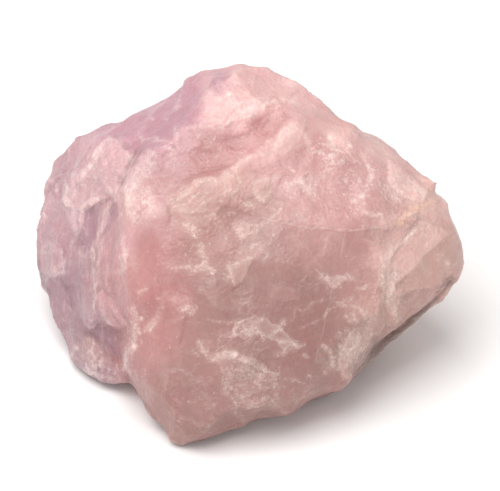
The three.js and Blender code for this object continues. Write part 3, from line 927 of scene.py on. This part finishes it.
class Nodes:
    """Short ways to add a material's nodes."""

    def __init__(self, material):
        self.tree = material.node_tree

    def add(self, kind, *values, out=0, **settings):
        """Adds a node, sets its settings, and feeds its inputs in order, leaving those given as None."""
        node = self.tree.nodes.new("ShaderNode" + kind)
        for name, value in settings.items():
            setattr(node, name, value)
        for socket, value in zip(node.inputs, values):
            self.feed(socket, value)
        return node.outputs[out]

    def feed(self, socket, value):
        if isinstance(value, bpy.types.NodeSocket):
            self.tree.links.new(value, socket)
        elif value is not None:
            socket.default_value = value

    def plus(self, first, second):
        return self.add("Math", first, second, operation="ADD")

    def times(self, first, *others):
        for other in others:
            first = self.add("Math", first, other, operation="MULTIPLY")
        return first

    def dot(self, first, second):
        return self.add("VectorMath", first, tuple(second), operation="DOT_PRODUCT", out=1)

    def attribute(self, name, out=2):
        return self.add("Attribute", attribute_name=name, out=out)

    def ramp(self, value, low, high, to_low=0.0, to_high=1.0):
        return self.add("MapRange", value, low, high, to_low, to_high, interpolation_type="SMOOTHSTEP")

    def line(self, value, middle, half_width, core=0.0):
        """1 where the value is within core of the middle, falling to 0 at the half width."""
        away = self.add("Math", self.add("Math", value, middle, operation="SUBTRACT"), operation="ABSOLUTE")
        return self.ramp(away, half_width, core)

    def mix(self, share, first, second, blend="MIX"):
        node = self.tree.nodes.new("ShaderNodeMix")
        node.data_type = "RGBA"
        node.blend_type = blend
        for socket, value in zip((node.inputs[0], node.inputs[6], node.inputs[7]), (share, first, second)):
            self.feed(socket, value)
        return node.outputs[2]


class Quartz(Nodes):
    """The stone's material. Its steps lay what they are named for over the colour so far."""

    def __init__(self, material):
        super().__init__(material)
        own = self.add("TexCoord", out=3)
        self.places = self.add("VectorMath", own, None, None, 1 / MM, operation="SCALE")
        self.ragged = self.noise(0.8, 7.0, 0.66, 0.6)
        self.chips = self.noise(0.6, 5.0, 0.65)
        self.veil = self.attribute("veil")
        self.colour = self.attribute("tint", 0)

    def noise(self, scale, detail, roughness=0.55, distortion=0.0, places=None):
        places = places or self.places
        return self.add("TexNoise", places, None, scale, detail, roughness, None, None, None, distortion)

    def stain(self, tint, *shares, blend="MIX"):
        self.colour = self.mix(self.times(*shares), self.colour, (*linear(TINTS[tint]), 1.0), blend)

    def whiten(self, *shares):
        """Lays a milky film over the colour, which lightens dark stone and pale stone alike."""
        self.stain("milk", *shares, blend="SCREEN")

    def clouds(self):
        """Deep rose where the stone is clear, milky where it isn't, and a deeper rose in the hollows."""
        clouds = self.noise(0.11, 5.0, 0.6, 0.6)
        self.stain("deep rose", self.ramp(clouds, 0.5, 0.3, 0, 0.25))
        self.whiten(self.ramp(clouds, 0.52, 0.72, 0, 0.35))
        self.stain("deep rose", self.attribute("hollow"), 0.3)
        mottle = self.ramp(self.noise(0.9, 6.0, 0.7), 0.3, 0.7, 0.95, 1.05)
        self.colour = self.mix(1.0, self.colour, mottle, "MULTIPLY")

    def fibres(self):
        """Thin fibres all through the stone, in patches."""
        lengthwise = self.times(self.dot(self.places, FIBRES), 0.25)
        crosswise = self.dot(self.places, ACROSS_FIBRES)
        drawn_out = self.add("CombineXYZ", lengthwise, crosswise, self.dot(self.places, OUT))
        patchy = self.ramp(self.noise(0.13, 3.0), 0.5, 0.64)
        for scale, width, share in ((0.25, 0.02, 0.6), (0.6, 0.03, 0.35)):
            folds = self.noise(scale, 6.0, 0.6, 0.5, drawn_out)
            self.whiten(self.line(folds, 0.5, width), patchy, share)

    def haze(self):
        """A soft haze in the veils, and a faint film in patches everywhere."""
        self.whiten(self.veil, 0.45)
        self.whiten(self.ramp(self.noise(0.35, 7.0, 0.65, 0.8), 0.52, 0.68, 0.0, 0.22))

    def plates(self):
        """The plates, which are milkiest along their edge."""
        inside = self.plus(self.attribute("plate"), self.times(self.ragged, 2.0))
        edge = self.ramp(inside, 1.1, 2.3, 1.4, 0.55)
        uneven = self.ramp(self.ragged, 0.38, 0.6, 0.7, 1.2)
        self.whiten(self.ramp(inside, 0.93, 1.07), edge, uneven, self.attribute("milky"))

    def flakes(self):
        """Ragged flakes full of small holes, and curly threads near the veils."""
        flake = self.ramp(self.plus(self.ragged, self.times(self.veil, 0.27)), 0.64, 0.71)
        self.whiten(flake, self.ramp(self.noise(1.3, 5.0, 0.7), 0.42, 0.54, 0.2, 0.75))
        threads = self.line(self.noise(0.45, 6.0, 0.62, 1.2), 0.5, 0.022, 0.004)
        self.whiten(threads, self.ramp(self.veil, 0.12, 0.5, 0.0, 0.85))

    def shaded_breaks(self):
        # painted shade over the breaks that face away from the light
        inside = self.plus(self.attribute("break shade"), self.times(self.ragged, 0.5))
        self.stain("dusk", self.ramp(inside, 0.18, 0.34), self.ramp(self.ragged, 0.35, 0.6, 0.65, 0.45))

    def crushed_parts(self):
        """White specks on the broken parts, and white along worn edges and the patches' rims."""
        for scale, share in ((0.7, 1.0), (1.6, 0.6)):
            speckled = self.times(self.attribute("speckled"), 0.16)
            grains = self.plus(self.noise(scale, 5.0, 0.65), speckled)
            self.whiten(self.ramp(grains, 0.67, 0.75), share)
        self.whiten(self.attribute("wear"), self.ramp(self.chips, 0.44, 0.6), 0.6)
        shown = self.ramp(self.noise(0.22, 2.0), 0.45, 0.58)
        for name in ("rim a", "rim b"):
            gap = self.plus(self.attribute(name), self.times(self.chips, 1.2))
            self.whiten(self.line(gap, 0.6, 0.35, 0.05), shown, self.attribute("white"))

    def crease_shade(self):
        # painted shade: the shade tint laid along the creases and crevices
        self.stain("shade", self.attribute("dark"), self.ramp(self.chips, 0.35, 0.5, 0.5, 1.0), 0.8)

    def left_streaks(self):
        """Fine streaks down the left face, milky and dark."""
        lengthwise = self.times(self.dot(self.places, UP), 0.22)
        drawn_out = self.add("CombineXYZ", self.dot(self.places, ACROSS), lengthwise)
        streaks = self.noise(0.9, 5.0, 0.65, places=drawn_out)
        left = self.attribute("left")
        self.whiten(self.ramp(streaks, 0.54, 0.62), left, 0.45)
        self.stain("dusk", self.ramp(streaks, 0.45, 0.34), left, 0.3)

    def glints(self):
        # painted highlights: the glint tint laid over the colour at the glints
        self.stain("glint", self.attribute("glint"))

    def veins(self):
        """The vein across the face with its stained end, and the hairline crack."""
        patchy = self.ramp(self.noise(0.5, 3.0), 0.35, 0.6, 0.2, 1.0)
        self.whiten(self.line(self.attribute("vein"), 0.0, 0.4, 0.05), patchy, 0.6)
        self.stain("ochre", self.attribute("stain"), self.ramp(self.ragged, 0.4, 0.56, 0.3, 1.0), 0.7)
        patchy = self.ramp(self.noise(0.35, 3.0), 0.4, 0.6)
        self.whiten(self.line(self.attribute("hairline"), 0.0, 0.2, 0.03), patchy, 0.5)

    def roughness(self):
        """Glassy where the stone is clear, duller where it is crushed."""
        return self.ramp(self.plus(self.noise(0.5, 4.0, 0.6), self.veil), 0.35, 1.1, 0.3, 0.55)

    def grain(self):
        """Bumps finer than the mesh."""
        pits = self.add("TexVoronoi", self.places, None, 1.1, feature="F1")
        bump = self.tree.nodes.new("ShaderNodeBump")
        bump.inputs["Distance"].default_value = 0.5 * MM
        self.feed(bump.inputs["Strength"], self.ramp(self.attribute("broken"), 0.0, 1.0, 0.3, 0.9))
        height = self.plus(self.times(self.noise(1.6, 6.0, 0.65), 0.6), self.times(pits, 0.5))
        self.feed(bump.inputs["Height"], height)
        return bump.outputs[0]


def quartz_material():
    material = bpy.data.materials.new("rose quartz")
    material.use_nodes = True
    quartz = Quartz(material)
    for step in (
        quartz.clouds, quartz.fibres, quartz.haze, quartz.plates, quartz.flakes, quartz.shaded_breaks,
        quartz.crushed_parts, quartz.crease_shade, quartz.left_streaks, quartz.glints, quartz.veins,
    ):
        step()
    shader = material.node_tree.nodes["Principled BSDF"]
    quartz.feed(shader.inputs["Base Color"], quartz.colour)
    quartz.feed(shader.inputs["Roughness"], quartz.roughness())
    quartz.feed(shader.inputs["Normal"], quartz.grain())
    shader.inputs["IOR"].default_value = 1.54
    shader.inputs["Subsurface Weight"].default_value = 0.4
    shader.inputs["Subsurface Radius"].default_value = (1.0, 0.42, 0.38)
    shader.inputs["Subsurface Scale"].default_value = 2.8 * MM
    return material


def make_chunk(frame, low, high):
    chunk = remeshed(frame["nodes"][NODE])
    surface = Surface(chunk.data)
    paint(surface, *roughen(surface, low, high))
    chunk.data.materials.clear()
    chunk.data.materials.append(quartz_material())
    chunk.data.polygons.foreach_set("use_smooth", [True] * len(chunk.data.polygons))
    return chunk


def make_floor():
    """A pale floor of one big sheet."""
    reach = 6.0
    mesh = bpy.data.meshes.new("floor")
    corners = [(-reach, -reach, 0), (reach, -reach, 0), (reach, reach, 0), (-reach, reach, 0)]
    mesh.from_pydata(corners, [], [(0, 1, 2, 3)])
    floor = bpy.data.objects.new("floor", mesh)
    bpy.context.scene.collection.objects.link(floor)
    paper = bpy.data.materials.new("pale floor")
    paper.use_nodes = True
    shader = paper.node_tree.nodes["Principled BSDF"]
    shader.inputs["Base Color"].default_value = (0.9, 0.9, 0.9, 1)
    shader.inputs["Roughness"].default_value = 0.9
    shader.inputs["Specular IOR Level"].default_value = 0.1
    mesh.materials.append(paper)
    return floor


def add_light(name, place, size, watts, colour):
    """A soft square light that looks at the chunk's middle."""
    lamp = bpy.data.lights.new(name, "AREA")
    lamp.size = size
    lamp.energy = watts
    lamp.color = colour
    light = bpy.data.objects.new(name, lamp)
    bpy.context.scene.collection.objects.link(light)
    light.location = place
    light.rotation_euler = (Vector((0, 0, 0.03)) - light.location).to_track_quat("-Z", "Y").to_euler()
    light.visible_camera = False
    return light


def light_the_scene():
    world = bpy.data.worlds.new("studio")
    world.use_nodes = True
    world.node_tree.nodes["Background"].inputs["Color"].default_value = (1.0, 0.985, 0.975, 1)
    world.node_tree.nodes["Background"].inputs["Strength"].default_value = 0.6
    bpy.context.scene.world = world
    add_light("key", (-0.22, -0.15, 0.9), 0.8, 8.8, (1.0, 0.985, 0.97))
    add_light("fill", (-0.3, -0.9, 0.3), 0.6, 1.5, (1.0, 0.98, 0.97))
    bpy.context.scene.view_settings.view_transform = "Standard"


def make_camera():
    """A long lens at the photograph's angle, square-on to the broad face."""
    camera = bpy.data.cameras.new("camera")
    camera.sensor_width = SENSOR
    camera.lens = SENSOR * CAMERA_DISTANCE / FRAME_WIDTH
    camera.clip_end = 100
    eye = bpy.data.objects.new("camera", camera)
    bpy.context.scene.collection.objects.link(eye)
    target = Vector((FACE_ORIGIN + UP * PICTURE_MIDDLE) * MM)
    out = Vector(OUT)
    eye.location = target + out * CAMERA_DISTANCE * MM
    eye.rotation_euler = (-out).to_track_quat("-Z", "Y").to_euler()
    bpy.context.scene.camera = eye


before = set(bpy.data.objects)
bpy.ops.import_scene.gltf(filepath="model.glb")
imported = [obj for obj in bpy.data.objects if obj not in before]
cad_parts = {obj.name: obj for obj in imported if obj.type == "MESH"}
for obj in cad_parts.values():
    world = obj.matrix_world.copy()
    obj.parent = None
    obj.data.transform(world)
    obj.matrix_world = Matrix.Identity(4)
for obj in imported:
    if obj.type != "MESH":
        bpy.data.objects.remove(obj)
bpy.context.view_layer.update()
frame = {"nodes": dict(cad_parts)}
make_camera()
light_the_scene()
make_floor()

lowest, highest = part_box(NODE)
chunk = make_chunk(frame, np.array(lowest) / MM, np.array(highest) / MM)
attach(chunk, "root")
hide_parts(NODE)
